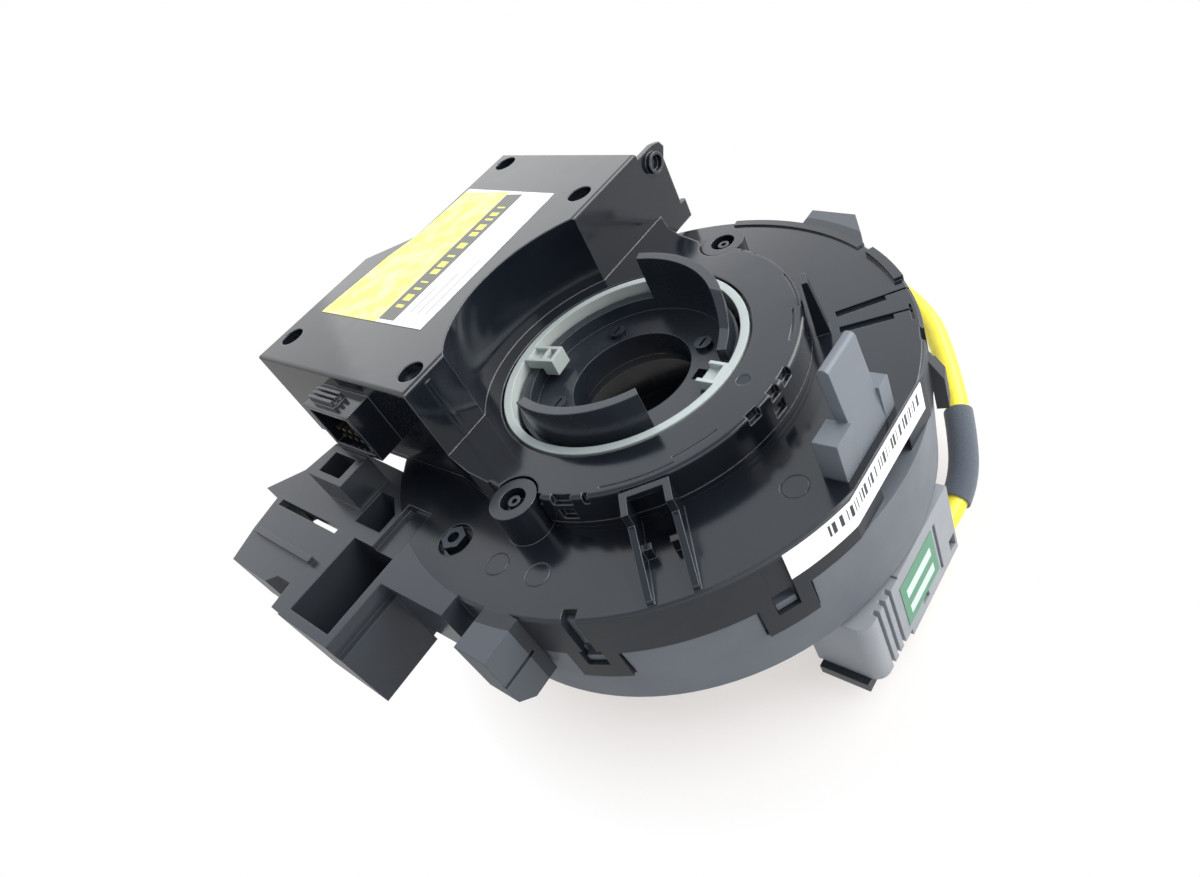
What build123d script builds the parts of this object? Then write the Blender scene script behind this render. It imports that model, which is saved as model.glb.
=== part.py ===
from build123d import *
import os
from math import cos, sin, tan, acos, radians, degrees, pi

# Steering column clock spring with steering angle sensor, in millimetres.
# The origin is on the steering axis, level with the top face of the stator cover.
# +Z points to the steering column, +Y to the sensor box, -X to the harness connectors.

# Stator cover: the disc with its skirt
rim_radius = 57.5
cover_thickness = 2.0
rim_edge = 0.6
skirt_depth = 10.5
skirt_wall = 1.6
snap_tab_depth = 18.2
snap_tab_angles = [-156.5, -121.2, -30.0, 18.0]
snap_tab_half_angle = 5.0
snap_window_width = 4.4
snap_window_depth = 14.0
snap_window_height = 4.5
snap_relief = 0.7
snap_relief_top = 1.2
open_slot_width = 2.8
flat_cut = 1.9
flat_distance = rim_radius - flat_cut
flat_half_length = 17.0

# Lip, grooves, notches and fin of the cover
lip_width = 1.9
lip_gap = 0.05
lip_spans = [(-46.6, -33.4, 0.9), (-30.0, 8.0, 0.4)]
groove_depth = 1.0
groove_width = 1.9
thin_groove_width = 0.6
groove_spans = [(42.8, 52.6, 59.0), (42.6, 52.8, 56.3)]
groove_angles = [-50.3, -57.2]
rim_slot_radius = 56.3
rim_slot_span = (-60.0, -54.9)
rim_slot_width = 0.5
rim_notch_span = (-66.0, -62.5)
rim_notch_depth = 5.0
rim_notch_inset = 0.8
eject_mark_radius = 2.6
eject_mark_line = 0.25
eject_mark_depth = 0.15
eject_mark_distance = 48.4
eject_mark_angles = [-179.0, -167.0, -108.0]
fin_angle = -70.5
fin_width = 3.4
fin_reach = 2.2
fin_top = 1.0
fin_full = 8.0
fin_bottom = 15.5

# Stator housing: the can that closes the cable space from the wheel side
housing_depth = 28.8
housing_wall = 2.2
housing_step = 0.3
housing_taper = 1.2
housing_lip = 5.8
housing_top_radius = rim_radius - housing_step
housing_bottom_radius = housing_top_radius - housing_taper
housing_lip_radius = housing_bottom_radius - housing_lip
housing_lip_thickness = 1.5
fit_gap = 0.25
pocket_relief = 0.1
catch_height = 1.6
catch_recess = 1.1

# Ear bosses that carry the sensor, and the nut insert
annulus_radius = 37.5
ear_beyond = 1.1
ear_offset = annulus_radius + ear_beyond
ear_y = -1.7
ear_radius = 4.9
ear_height = 8.0
ear_bore_radius = 2.7
ear_bore_depth = 3.2
ear_pin_radius = 1.3
ear_pin_hole_radius = 0.6
insert_x = -47.4
insert_y = 13.1
insert_width = 5.0
insert_hole_radius = 1.3
insert_rise = 0.8
insert_recess_radius = 3.9
insert_recess_depth = 1.2

# Wire channel on the cover: two ribs and the bridge at their inner end
channel_angle = -137.3
channel_width = 6.7
channel_rib = 1.3
channel_gap = 0.4
channel_inner_radius = annulus_radius + channel_gap
channel_outer_radius = rim_radius - 1.1
channel_inner_height = 8.0
channel_step_height = 5.0
channel_outer_height = 1.2
channel_stub = 2.6
bridge_length = 5.4

# Clip bracket on the flat side of the cover, and the thin guide finger
bracket_thickness = 2.2
bracket_height = 19.2
bracket_lean = 1.7
bracket_left = -6.2
bracket_right = 3.2
bracket_round = 1.0
shoulder_left = -11.6
shoulder_right = 6.6
shoulder_left_height = 8.3
shoulder_right_height = 7.0
shoulder_depth = 4.5
finger_angle = -55.0
finger_gap = 0.7
finger_height = 13.0
finger_width = 3.4
finger_foot = 2.8
finger_tip = 1.2

# Column claws, one on each side of the rim
claw_root = 1.5
claw_left_reach = 7.9
claw_left_y = [-13.4, -5.3]
claw_right_reach = 4.5
claw_right_y = [-21.7, -10.2]
claw_right_heel = [(4.2, -26.4), (10.3, -30.0)]
claw_depth = 16.4
claw_chamfer = 3.0
claw_groove = 0.8
claw_groove_depth = 8.0

# Harness connector block, moulded on the cover; its x values count from the rim's left edge
block_plate = 2.0
block_wall = 1.8
block_depth = 14.0
socket_depth = 20.0
socket_x = [-20.1, 3.5]
socket_y = [22.2, 41.8]
socket_wall = 2.2
socket_floor = 3.0
socket_step = 4.0
socket_lip = 1.6
socket_lip_short = 8.0
pocket_x = [1.3, 13.0]
pocket_y = [24.4, 32.6]
pocket_depth = 1.4
well_x = [4.7, 13.2]
well_y = [34.0, 43.8]
well_depth = 8.0
well_wall = 1.2
arch_x = [7.5, 16.5]
arch_y = [45.0, 59.0]
arch_height = 8.0
arch_wall = 1.7
arch_end_wall = 2.6
slit_width = 1.6
slit_x = 0.9
slit_y = [46.5, 73.0]
rib_x = -7.6
rib_y = [44.8, 70.5]
rib_width = 1.5
rib_height = 1.3
shelf_x = [-4.3, 5.5]
shelf_y = 2.4
shelf_drop = 9.0
pin_width = 0.8
pin_pitch = 2.5
pin_rise = 9.0
pin_columns = 7

# Sensor box and the annulus round the ring
annulus_top = 8.3
base_thickness = 1.5
box_top = 25.8
box_left = -34.5
box_front = 22.0
box_front_right = 47.4
box_back_right = 51.0
box_back_low = 73.2
box_back_high = 84.4
box_step_right = 13.7
box_step_left = 3.9
box_wall = 1.8
box_roof = 1.8
annulus_wall = 1.6
annulus_round = 0.8
shoulder_right_points = [(24.0, 22.0), (47.4, 22.0), (43.2, 16.9), (40.6, 11.9), (38.2, 4.6), (33.0, 0.0)]
shoulder_left_points = [(-22.0, 22.5), (-34.5, 22.5), (-36.6, 13.6), (-37.2, 6.9), (-34.0, 2.0)]
seam_line = 0.4
seam_depth = 0.4
seams = [(36.0, -150.0, -127.4), (34.8, -127.4, -112.0)]
arc_slots = [(35.7, -72.7, -57.6), (36.9, -57.5, -38.0)]
latch_depth = 1.1
latch_notches = [(-171.0, -168.6), (-165.0, -158.7), (-155.0, -153.5), (-104.4, -100.0), (-95.0, -91.0), (-89.0, -84.0), (-14.0, -12.8), (-6.5, -5.0)]
latch_notch_low = 6.4
latch_windows = [-161.8, -93.0]
latch_window_width = 3.2
latch_window_z = [2.6, 5.2]
ring_screw = (-0.8, -30.4)
ring_screw_head = 1.25
ring_screw_depth = 0.8
ring_screw_shank = 0.6
ring_screw_length = 2.0
box_edge_round = 0.8
post_radius = 4.2
screw_recess_radius = 2.95
screw_recess_depth = 5.2
screw_points = [(46.1, 67.6), (31.5, 27.5), (-26.4, 78.8), (-28.6, 26.1)]
screw_head_radius = 2.6
screw_head_height = 2.2
screw_radius = 1.5
screw_clearance = 0.1
boss_gap = 0.5

# Sensor connector on the left end of the box, and the hook on its right end
shroud_reach = 6.5
shroud_y = [38.5, 57.0]
shroud_z = [8.6, 22.0]
shroud_wall = 1.3
thumb_y = [45.0, 54.5]
thumb_length = 3.4
thumb_height = 1.8
thumb_ridge = 0.7
sensor_pin_columns = 5
hook_wall = 1.3
hook_low = 1.5
hook_plate = [(55.7, 1.5), (55.7, 19.3), (57.2, 21.6), (56.2, 23.4), (53.6, 24.2)]
hook_foot_x = [51.3, 57.7]
hook_foot_top = 6.5
hook_roll = (51.6, 20.6)
hook_roll_radius = 2.6

# Sensor ring and measuring gears
gear_module = 1.0
ring_teeth = 60
gear_one_teeth = 20
gear_two_teeth = 18
gear_one_slot = 12.5
gear_two_slot = 18.5
tooth_backlash = 0.24
tooth_height_share = 0.8
gear_bottom = 2.1
gear_thickness = 3.0
gear_post_radius = 1.5
gear_post_clearance = 0.05
gear_hub_radius = 3.4
magnet_radius = 2.8
magnet_height = 2.4
ring_outer_radius = 26.95
ring_inner_radius = 25.2
ring_bottom = 1.9
ring_running_gap = 0.65
annulus_hole_radius = ring_outer_radius + ring_running_gap
scoop_lip = 3.9
scoop_radius = annulus_hole_radius + scoop_lip
prong_plate = 1.1
prong_bite = 0.8
long_prong_angle = 98.0
long_prong_width = 4.8
long_prong_tip = 17.2
long_prong_block = 3.6
long_prong_drop = 2.4
long_prong_wall = 0.9
long_prong_low = 4.2
short_prong_angle = -90.5
short_prong_width = 5.6
short_prong_tip = 20.9
short_prong_lip = 0.8

# Circuit board in the sensor box
board_bottom = 12.0
board_thickness = 1.6
board_front = 34.6
board_gap = 0.8
board_posts = [(-20.0, 76.0), (40.0, 56.0), (8.0, 68.0)]
board_post_radius = 2.0
chip_side = 4.2
chip_height = 1.2

# Rotor: disc, ribbon drum and hub
disc_gap = 0.4
disc_radius = housing_bottom_radius - housing_wall - disc_gap
disc_thickness = 2.2
disc_lip_gap = 0.4
front_face_gap = 1.0
front_face_radius = housing_lip_radius - front_face_gap
front_face_z = -30.0
front_hole_radius = 20.0
drum_radius = 29.6
drum_gap = 1.0
cover_hole_radius = drum_radius + drum_gap
drum_wall = 2.6
drum_top = -3.2
drum_shelf = 2.6
bore_radius = 13.3
bore_length = 6.0
hub_gap = 1.0
hub_radius = ring_inner_radius - hub_gap
hub_wall = 2.4
hub_rim_top = 6.0
ledge_z = 2.8
tab_inset = 0.6
tab_radius = hub_radius - tab_inset
tab_wall = 2.0
tab_high_top = 16.2
tab_high_slope = 0.09
tab_high_angles = [-77.0, 18.0]
tab_high_steps = [(15.6, 15.2), (14.8, 14.2), (11.5, 11.2), (9.7, 10.0), (5.2, 8.9)]
tab_low_top = 15.5
tab_low_angles = [163.0, 232.0]
ledge_pocket = (3.5, -16.0)
ledge_pocket_side = 3.0
ledge_pocket_depth = 1.6
shelf_inside = 2.2
hub_screw_radius_at = 16.4
hub_screw_angles = [-46.0, 46.5, 135.7]
hub_screw_head = 1.9
hub_screw_shank = 1.0
hub_screw_height = 1.0
hub_screw_length = 5.0

# Flat cable and its slip sheet
ribbon_turns = 3
ribbon_inner_radius = 33.0
ribbon_pitch = 5.6
ribbon_thickness = 0.6
ribbon_height = 14.0
slip_thickness = 0.25

# Wheel-side connector tower on the rotor
tower_x = [-22.0, 14.0]
tower_front = -56.0
tower_back = -42.0
tower_top = -29.7
tower_bottom = -49.6
tower_block_right = -9.0
tower_plate = 2.0
tower_base = 1.6
tower_round = 3.0
tower_rib_count = 3
tower_rib_start = 3.0
tower_rib_pitch = 2.4
tower_rib_groove = 1.0
tower_window = 3.6
tower_window_z = -45.8
tower_window_x = [12.0, -1.7]
tower_slot_x = 6.4
tower_slot_z = [-47.5, -33.0]
tower_roof = 5.0
insert_lock_height = 2.6
insert_lock_wall = 1.4

# Inflator lead, its foam sleeve and its plug
lead_diameter = 5.2
lead_route = [
    (-10.2, -50.0, -44.8),
    (1.5, -49.9, -47.0),
    (15.5, -50.9, -50.2),
    (29.5, -51.9, -48.2),
    (43.5, -46.2, -44.6),
    (58.5, -37.6, -41.4),
    (73.0, -27.6, -38.8),
    (83.8, -9.5, -36.4),
    (83.0, 10.5, -35.0),
    (71.7, 26.0, -35.0),
    (54.0, 32.5, -35.4),
    (35.5, 29.5, -35.8),
]
lead_gap = 0.1
foam_radius = 3.2
foam_span = [0.19, 0.315]
plug_length = 19.0
plug_grip = 4.0
plug_width = 12.0
plug_height = 11.0
plug_wall = 1.6
plug_mouth = 12.0
plug_roof = 3.2

# Labels and stickers, bare fields of colour
label_thickness = 0.15
side_label_height = 6.4
side_label_start = -119.0
side_label_inset = 4.0
box_label = [(-17.4, 35.5), (31.6, 36.0), (34.3, 71.2), (14.5, 72.0), (5.5, 74.8), (-17.0, 77.7)]
tower_label_x = [-9.5, 5.0]
tower_label_z = [-45.5, -33.0]


def polar(radius, angle):
    return (radius * cos(radians(angle)), radius * sin(radians(angle)))


def block(x_span, y_span, z_span):
    size = [abs(span[1] - span[0]) for span in (x_span, y_span, z_span)]
    middle = [(span[0] + span[1]) / 2 for span in (x_span, y_span, z_span)]
    return Pos(*middle) * Box(*size)


def post(x, y, radius, z_low, z_high):
    return Pos(x, y, (z_low + z_high) / 2) * Cylinder(radius, z_high - z_low)


def turned(profile):
    """A solid turned about the steering axis from (radius, z) points."""
    return revolve(make_face(Plane.XZ * Polyline(*profile, close=True)), Axis.Z)


def sector(inner, outer, start, end):
    middle = (start + end) / 2
    return make_face([
        ThreePointArc(polar(outer, start), polar(outer, middle), polar(outer, end)),
        Line(polar(outer, end), polar(inner, end)),
        ThreePointArc(polar(inner, end), polar(inner, middle), polar(inner, start)),
        Line(polar(inner, start), polar(outer, start)),
    ])


def sector_block(inner, outer, start, end, z_low, z_high):
    return Pos(0, 0, z_low) * extrude(sector(inner, outer, start, end), z_high - z_low)


def prism(points, z_low, z_high):
    return Pos(0, 0, z_low) * extrude(make_face(Polyline(*points, close=True)), z_high - z_low)


# Outlines that several pieces share

def box_points(inset):
    """The sensor box seen from the column, moved inwards by inset."""
    outline = make_face(Polyline(
        (box_left, box_front), (box_front_right, box_front), (box_back_right, box_back_low),
        (box_step_right, box_back_low), (box_step_left, box_back_high),
        (box_left, box_back_high), close=True))
    return offset(outline, -inset, kind=Kind.INTERSECTION) if inset else outline


def block_outline():
    return [(19.5, 38.0), (20.5, 58.0), (20.5, 73.5), (10.9, 75.3), (2.4, 82.9),
            (1.5, 75.7), (-7.5, 73.6), (-16.0, 70.5), (-16.1, 53.9), (-13.8, 51.5),
            (-13.7, 46.2), (-19.7, 45.3), (socket_x[0], socket_y[0]),
            (shelf_x[0] - 0.2, socket_y[0]), (shelf_x[0], 3.9), (-2.2, shelf_y), (7.5, shelf_y)]


def standing_rib(width, profile):
    """A rib along +X of the given width, from (x, z) points of its side."""
    side = make_face(Plane.XZ * Polyline(*profile, close=True))
    return Pos(0, width / 2, 0) * extrude(side, width)


def wire_channel():
    bridge_end = channel_inner_radius + bridge_length
    side = (channel_width + channel_rib) / 2
    rib = standing_rib(channel_rib, [
        (channel_inner_radius, 0), (channel_outer_radius, 0),
        (channel_outer_radius, channel_outer_height), (bridge_end, channel_step_height),
        (bridge_end, channel_inner_height), (channel_inner_radius, channel_inner_height)])
    frame = Pos(0, side, 0) * rib + Pos(0, -side, 0) * rib
    frame += block((channel_inner_radius, bridge_end), (-side, side),
                   (channel_inner_height - channel_rib, channel_inner_height))
    frame -= block((channel_inner_radius + channel_rib, bridge_end + 1),
                   (-channel_width / 2, channel_width / 2),
                   (channel_inner_height - 2 * channel_rib, channel_inner_height + 1))
    stub = block((bridge_end + channel_stub, bridge_end + channel_stub + channel_rib), (-side, side),
                 (0, channel_stub))
    stub -= block((bridge_end, channel_outer_radius), (-channel_width / 4, channel_width / 4),
                  (-1, channel_stub + 1))
    return Rot(0, 0, channel_angle) * (frame + stub)


def clip_bracket():
    """The tall leaning plate between two low shoulders, on the flat side."""
    outer = -flat_distance + skirt_wall
    profile = make_face(Plane.YZ * Polyline(
        (outer, 0), (outer + bracket_thickness, 0),
        (outer + bracket_lean + bracket_thickness, bracket_height),
        (outer + bracket_lean, bracket_height), close=True))
    plate = Pos(bracket_left, 0, 0) * extrude(profile, bracket_right - bracket_left)
    plate = fillet(plate.edges().filter_by(Axis.X).sort_by(Axis.Z)[-2:], bracket_round)
    left = block((shoulder_left, bracket_left), (outer, outer + shoulder_depth),
                 (0, shoulder_left_height))
    right = block((bracket_right, shoulder_right), (outer, outer + shoulder_depth),
                  (0, shoulder_right_height))
    return plate + left + right


def guide_finger():
    inner = annulus_radius + finger_gap
    finger = standing_rib(finger_width, [
        (inner, 0), (inner + finger_foot, 0), (inner + finger_tip, finger_height),
        (inner, finger_height)])
    return Rot(0, 0, finger_angle) * finger


def rim_fin():
    fin = standing_rib(fin_width, [
        (rim_radius - fin_top, -fin_top), (rim_radius + fin_reach, -fin_full),
        (rim_radius + fin_reach, -fin_bottom), (rim_radius - fin_top, -fin_bottom)])
    return Rot(0, 0, fin_angle) * fin


def left_claw():
    outer_x = -rim_radius - claw_left_reach
    body = block((outer_x, -rim_radius + claw_root), claw_left_y, (-claw_depth, 0))
    edge = body.edges().filter_by(Axis.Y).sort_by(lambda e: e.center().X + e.center().Z)[0]
    body = chamfer(edge, claw_chamfer)
    return body - block((outer_x - 1, outer_x + claw_groove_depth),
                        (claw_left_y[0] - 1, claw_left_y[0] + claw_groove),
                        (-claw_groove_depth - claw_groove, -claw_groove_depth))


def right_claw():
    outer_x = rim_radius + claw_right_reach
    heel = [(rim_radius - x, y) for x, y in claw_right_heel]
    return prism([(rim_radius - claw_root, claw_right_y[1]), (outer_x, claw_right_y[1]),
                  (outer_x - claw_groove * 2, claw_right_y[0])] + heel, -claw_depth, 0)


def housing_room(depth, top):
    return post(0, 0, housing_top_radius + fit_gap, -depth - 1, -top)


def connector_block():
    """Plates, walls and the deep socket of the harness connectors."""
    outline = make_face(Polyline(*block_outline(), close=True))
    inner = offset(outline, -block_wall, kind=Kind.INTERSECTION)
    shell = Pos(0, 0, -block_depth) * extrude(outline, block_depth)
    shell -= Pos(0, 0, -block_depth) * extrude(inner, block_depth - block_plate)
    shell += block(socket_x, socket_y, (-socket_depth, 0))
    shell += block((socket_x[0], socket_x[1] - socket_lip_short),
                   (socket_y[0] - socket_lip, socket_y[0]), (-socket_depth, -socket_step))
    shell += block((well_x[0] - well_wall, well_x[1] + well_wall),
                   (well_y[0] - well_wall, well_y[1] + well_wall), (-well_depth - well_wall, 0))
    shell += block(shelf_x, (shelf_y, shelf_y + block_wall), (-shelf_drop, 0))
    shell += block(arch_x, arch_y, (-block_plate, arch_height))
    shell += block((rib_x - rib_width / 2, rib_x + rib_width / 2), rib_y, (0, rib_height))
    return Pos(-rim_radius, 0, 0) * shell - housing_room(socket_depth, cover_thickness)


def connector_holes():
    """The socket, its shallow recess, the dark well, the strap arch and the slit."""
    holes = block((socket_x[0] + socket_wall, socket_x[1] - socket_wall),
                  (socket_y[0] + socket_wall, socket_y[1] - socket_wall),
                  (-socket_depth + socket_floor, 1))
    holes += block(pocket_x, pocket_y, (-pocket_depth, 1))
    holes += block((arch_x[0] + arch_wall, arch_x[1] - arch_wall),
                   (arch_y[0] + arch_end_wall, arch_y[1] - arch_end_wall),
                   (-block_depth, arch_height + 1))
    holes += block((slit_x - slit_width / 2, slit_x + slit_width / 2), slit_y, (-block_plate - 1, 1))
    holes += block(well_x, well_y, (-well_depth, 1)) - post(
        rim_radius, 0, rim_radius + well_wall, -well_depth - 1, 2)
    return Pos(-rim_radius, 0, 0) * holes


def snap_tab_cuts(angle):
    """The window of one tab; the first tab is open to the top, the others have a shallow relief."""
    inner_skirt = rim_radius - skirt_wall
    half = snap_window_width / 2
    cuts = block((inner_skirt - 1, rim_radius + 1), (-half, half),
                 (-snap_window_depth, -snap_window_depth + snap_window_height))
    if angle == snap_tab_angles[0]:
        cuts += block((inner_skirt - 1, rim_radius + 1), (-open_slot_width / 2, open_slot_width / 2),
                      (-snap_window_depth, 1))
    else:
        cuts += block((rim_radius - snap_relief, rim_radius + 1), (-half, half),
                      (-snap_window_depth, -snap_relief_top))
    return Rot(0, 0, angle) * cuts


def cover_marks():
    """Grooves, slots and round mould marks in the top face and the rim."""
    cuts = sector_block(rim_slot_radius - rim_slot_width, rim_slot_radius, rim_slot_span[0],
                        rim_slot_span[1], -rim_slot_width, 1)
    cuts += sector_block(rim_radius - rim_notch_inset, rim_radius + 1, rim_notch_span[0],
                         rim_notch_span[1], -rim_notch_depth, 1)
    for angle, (inner, outer, thin_outer) in zip(groove_angles, groove_spans):
        groove = block((inner, outer), (-groove_width / 2, groove_width / 2), (-groove_depth, 1))
        groove += block((outer - 1, thin_outer), (groove_width / 2 - thin_groove_width, groove_width / 2),
                        (-groove_depth, 1))
        cuts += Rot(0, 0, angle) * groove
    for angle in eject_mark_angles:
        x, y = polar(eject_mark_distance, angle)
        cuts += post(x, y, eject_mark_radius, -eject_mark_depth, 1) - post(
            x, y, eject_mark_radius - eject_mark_line, -1, 2)
    return cuts


def ear_boss(x):
    low = ear_height - ear_bore_depth
    body = post(x, ear_y, ear_radius, -cover_thickness / 2, ear_height)
    body -= post(x, ear_y, ear_bore_radius, low, ear_height + 1)
    body += post(x, ear_y, ear_pin_radius, low - 1, ear_height - ear_pin_hole_radius)
    return body - post(x, ear_y, ear_pin_hole_radius, low, ear_height)


def stator_cover():
    inner_skirt = rim_radius - skirt_wall
    body = turned([
        (cover_hole_radius, 0), (rim_radius - rim_edge, 0), (rim_radius, -rim_edge),
        (rim_radius, -snap_tab_depth), (inner_skirt, -snap_tab_depth),
        (inner_skirt, -cover_thickness), (cover_hole_radius, -cover_thickness)])
    for start, end, height in lip_spans:
        body += sector_block(rim_radius - lip_width, rim_radius - lip_gap, start, end,
                             -cover_thickness / 2, height)
    for angle, after in zip(snap_tab_angles, snap_tab_angles[1:] + [snap_tab_angles[0] + 360]):
        body -= sector_block(inner_skirt - 1, rim_radius + 1, angle + snap_tab_half_angle,
                             after - snap_tab_half_angle, -snap_tab_depth - 1, -skirt_depth)
    body -= block((-flat_half_length * 2, flat_half_length * 2),
                  (-rim_radius - 1, -flat_distance), (-skirt_depth - 0.01, 1))
    flat_wall = block((-flat_half_length, flat_half_length),
                      (-flat_distance, -flat_distance + skirt_wall), (-skirt_depth, -rim_edge))
    body += flat_wall & post(0, 0, rim_radius, -skirt_depth - 1, 0)
    body += connector_block()
    outside = left_claw() + right_claw() + rim_fin()
    body += outside - housing_room(claw_depth, skirt_depth)
    body -= post(0, 0, inner_skirt, -claw_depth - 10, -cover_thickness) - post(
        0, 0, cover_hole_radius, -claw_depth - 10, 1)
    for angle in snap_tab_angles:
        body -= snap_tab_cuts(angle)
    body -= connector_holes() + cover_marks()
    body -= post(insert_x, insert_y, insert_recess_radius, -insert_recess_depth, 1)
    body -= Pos(insert_x, insert_y, -cover_thickness) * extrude(
        RegularPolygon(insert_width / 2, 6, major_radius=False), cover_thickness + 1)
    body += wire_channel() + clip_bracket() + guide_finger()
    return body + ear_boss(ear_offset) + ear_boss(-ear_offset)


def nut_insert():
    ring = RegularPolygon(insert_width / 2, 6, major_radius=False) - Circle(insert_hole_radius)
    return Pos(insert_x, insert_y, -cover_thickness) * extrude(ring, cover_thickness + insert_rise)


def stator_housing():
    inner_radius = housing_bottom_radius - housing_wall
    neck_radius = rim_radius - skirt_wall - fit_gap
    body = turned([
        (inner_radius, -cover_thickness), (neck_radius, -cover_thickness),
        (neck_radius, -skirt_depth), (housing_top_radius, -skirt_depth),
        (housing_bottom_radius, -housing_depth), (housing_lip_radius, -housing_depth),
        (housing_lip_radius, -housing_depth + housing_lip_thickness),
        (inner_radius, -housing_depth + housing_lip_thickness)])
    for angle in snap_tab_angles:
        wide = snap_tab_half_angle + 0.4
        body -= sector_block(neck_radius - pocket_relief, rim_radius + 1, angle - wide, angle + wide,
                             -snap_tab_depth - fit_gap, -skirt_depth + 1)
        low = -snap_window_depth + fit_gap
        half = snap_window_width / 2 - fit_gap
        recess = block((neck_radius - catch_recess, rim_radius), (-half, half),
                       (low, -snap_window_depth + snap_window_height))
        catch = block((neck_radius - catch_recess - 0.1, rim_radius - snap_relief - 0.2), (-half, half),
                      (low, low + catch_height))
        body -= Rot(0, 0, angle) * recess
        body += Rot(0, 0, angle) * catch
    body -= block((-flat_half_length * 2, flat_half_length * 2),
                  (-rim_radius, -flat_distance + skirt_wall + fit_gap),
                  (-skirt_depth, 0))
    return body


# Gears

def gear_face(teeth):
    """A toothed disc with straight-flanked teeth and running backlash."""
    pitch_radius = teeth * gear_module / 2
    tip = pitch_radius + tooth_height_share * gear_module
    root = pitch_radius - 1.1 * gear_module
    half_pitch = (pi * gear_module / 4 - tooth_backlash / 2) / pitch_radius
    slope = tan(radians(22))
    half_tip = half_pitch - slope * (tip - pitch_radius) / pitch_radius
    half_root = half_pitch + slope * (pitch_radius - root) / pitch_radius
    points = []
    for tooth in range(teeth):
        middle = 2 * pi * tooth / teeth
        for radius, angle in ((root, -half_root), (tip, -half_tip), (tip, half_tip),
                              (root, half_root)):
            points.append((radius * cos(middle + angle), radius * sin(middle + angle)))
    return make_face(Polyline(*points, close=True))


def gear_place(teeth, slot):
    """Centre and turn of a gear that meshes with the ring at the given tooth slot."""
    line_angle = slot * 360 / ring_teeth
    distance = (ring_teeth + teeth) * gear_module / 2
    return polar(distance, line_angle), line_angle + 180


def measuring_gear(teeth, slot):
    (x, y), turn = gear_place(teeth, slot)
    body = extrude(gear_face(teeth), gear_thickness)
    body += Pos(0, 0, gear_thickness) * extrude(Circle(gear_hub_radius), magnet_height)
    body -= Pos(0, 0, gear_thickness) * extrude(Circle(magnet_radius), magnet_height)
    body -= extrude(Circle(gear_post_radius + gear_post_clearance), gear_thickness - 0.6)
    return Pos(x, y, gear_bottom) * Rot(0, 0, turn) * body


def gear_magnet(teeth, slot):
    (x, y), _ = gear_place(teeth, slot)
    low = gear_bottom + gear_thickness
    return post(x, y, magnet_radius, low, low + magnet_height)


def ring_prong(width, tip):
    """A plate with two side lips that reaches inwards over the hub's rim."""
    outer = ring_inner_radius + prong_bite
    plate = block((tip, outer), (-width / 2, width / 2), (hub_rim_top, annulus_top))
    return plate - block((tip - 1, ring_inner_radius - short_prong_lip),
                         (-width / 2 + short_prong_lip, width / 2 - short_prong_lip),
                         (hub_rim_top + prong_plate, annulus_top + 1))


def prong_cup():
    """The cup at the end of the long prong."""
    end = long_prong_tip + long_prong_block
    cup = block((long_prong_tip, end), (-long_prong_width / 2, long_prong_width / 2),
                (long_prong_low, annulus_top))
    return cup - block((long_prong_tip + long_prong_wall, end - long_prong_wall),
                       (-long_prong_width / 2 + long_prong_wall, long_prong_width / 2 - long_prong_wall),
                       (annulus_top - long_prong_drop, annulus_top + 1))


def sensor_ring():
    collar = Pos(0, 0, ring_bottom) * extrude(Circle(ring_outer_radius), annulus_top - ring_bottom)
    toothed = Pos(0, 0, gear_bottom) * extrude(gear_face(ring_teeth), gear_thickness)
    body = collar + toothed - post(0, 0, ring_inner_radius, ring_bottom - 1, annulus_top + 1)
    long_prong = ring_prong(long_prong_width, long_prong_tip + long_prong_block - 0.5) + prong_cup()
    body += Rot(0, 0, long_prong_angle) * long_prong
    body += Rot(0, 0, short_prong_angle) * ring_prong(short_prong_width, short_prong_tip)
    return body


# Sensor

def shoulders(z_low, z_high):
    """The low corners where the box runs into the annulus."""
    return prism(shoulder_right_points, z_low, z_high) + prism(shoulder_left_points, z_low, z_high)


def annulus_cuts():
    """Latch notches, latch windows and shallow seams of the annulus."""
    inner = annulus_radius - latch_depth
    x, y = ring_screw
    cuts = post(x, y, ring_screw_head + screw_clearance, annulus_top - ring_screw_depth, annulus_top + 1)
    cuts += post(x, y, ring_screw_shank + screw_clearance, annulus_top - annulus_wall - 1, annulus_top)
    for start, end in latch_notches:
        cuts += sector_block(inner, annulus_radius + 1, start, end, latch_notch_low, annulus_top + 1)
    for angle in latch_windows:
        cuts += Rot(0, 0, angle) * block((inner, annulus_radius + 1),
                                         (-latch_window_width / 2, latch_window_width / 2), latch_window_z)
    for radius, start, end in seams + arc_slots:
        cuts += sector_block(radius - seam_line, radius, start, end, annulus_top - seam_depth,
                             annulus_top + 1)
    return cuts


def sensor_base():
    body = post(0, 0, annulus_radius, 0, base_thickness)
    body += extrude(box_points(0), base_thickness) + shoulders(0, base_thickness)
    for side in (-1, 1):
        body -= post(side * ear_offset, ear_y, ear_radius + boss_gap, -1, base_thickness + 1)
    body -= post(0, 0, annulus_hole_radius, -1, base_thickness + 1)
    for x, y in board_posts:
        body += post(x, y, board_post_radius, 0, board_bottom)
    for teeth, slot in ((gear_one_teeth, gear_one_slot), (gear_two_teeth, gear_two_slot)):
        (x, y), _ = gear_place(teeth, slot)
        body += post(x, y, gear_post_radius + 1.2, 0, gear_bottom - 0.1)
        body += post(x, y, gear_post_radius, 0, gear_bottom + gear_thickness - 0.8)
    for x, y in screw_points:
        body -= post(x, y, screw_radius + screw_clearance, -1, base_thickness + 1)
    return body


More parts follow.
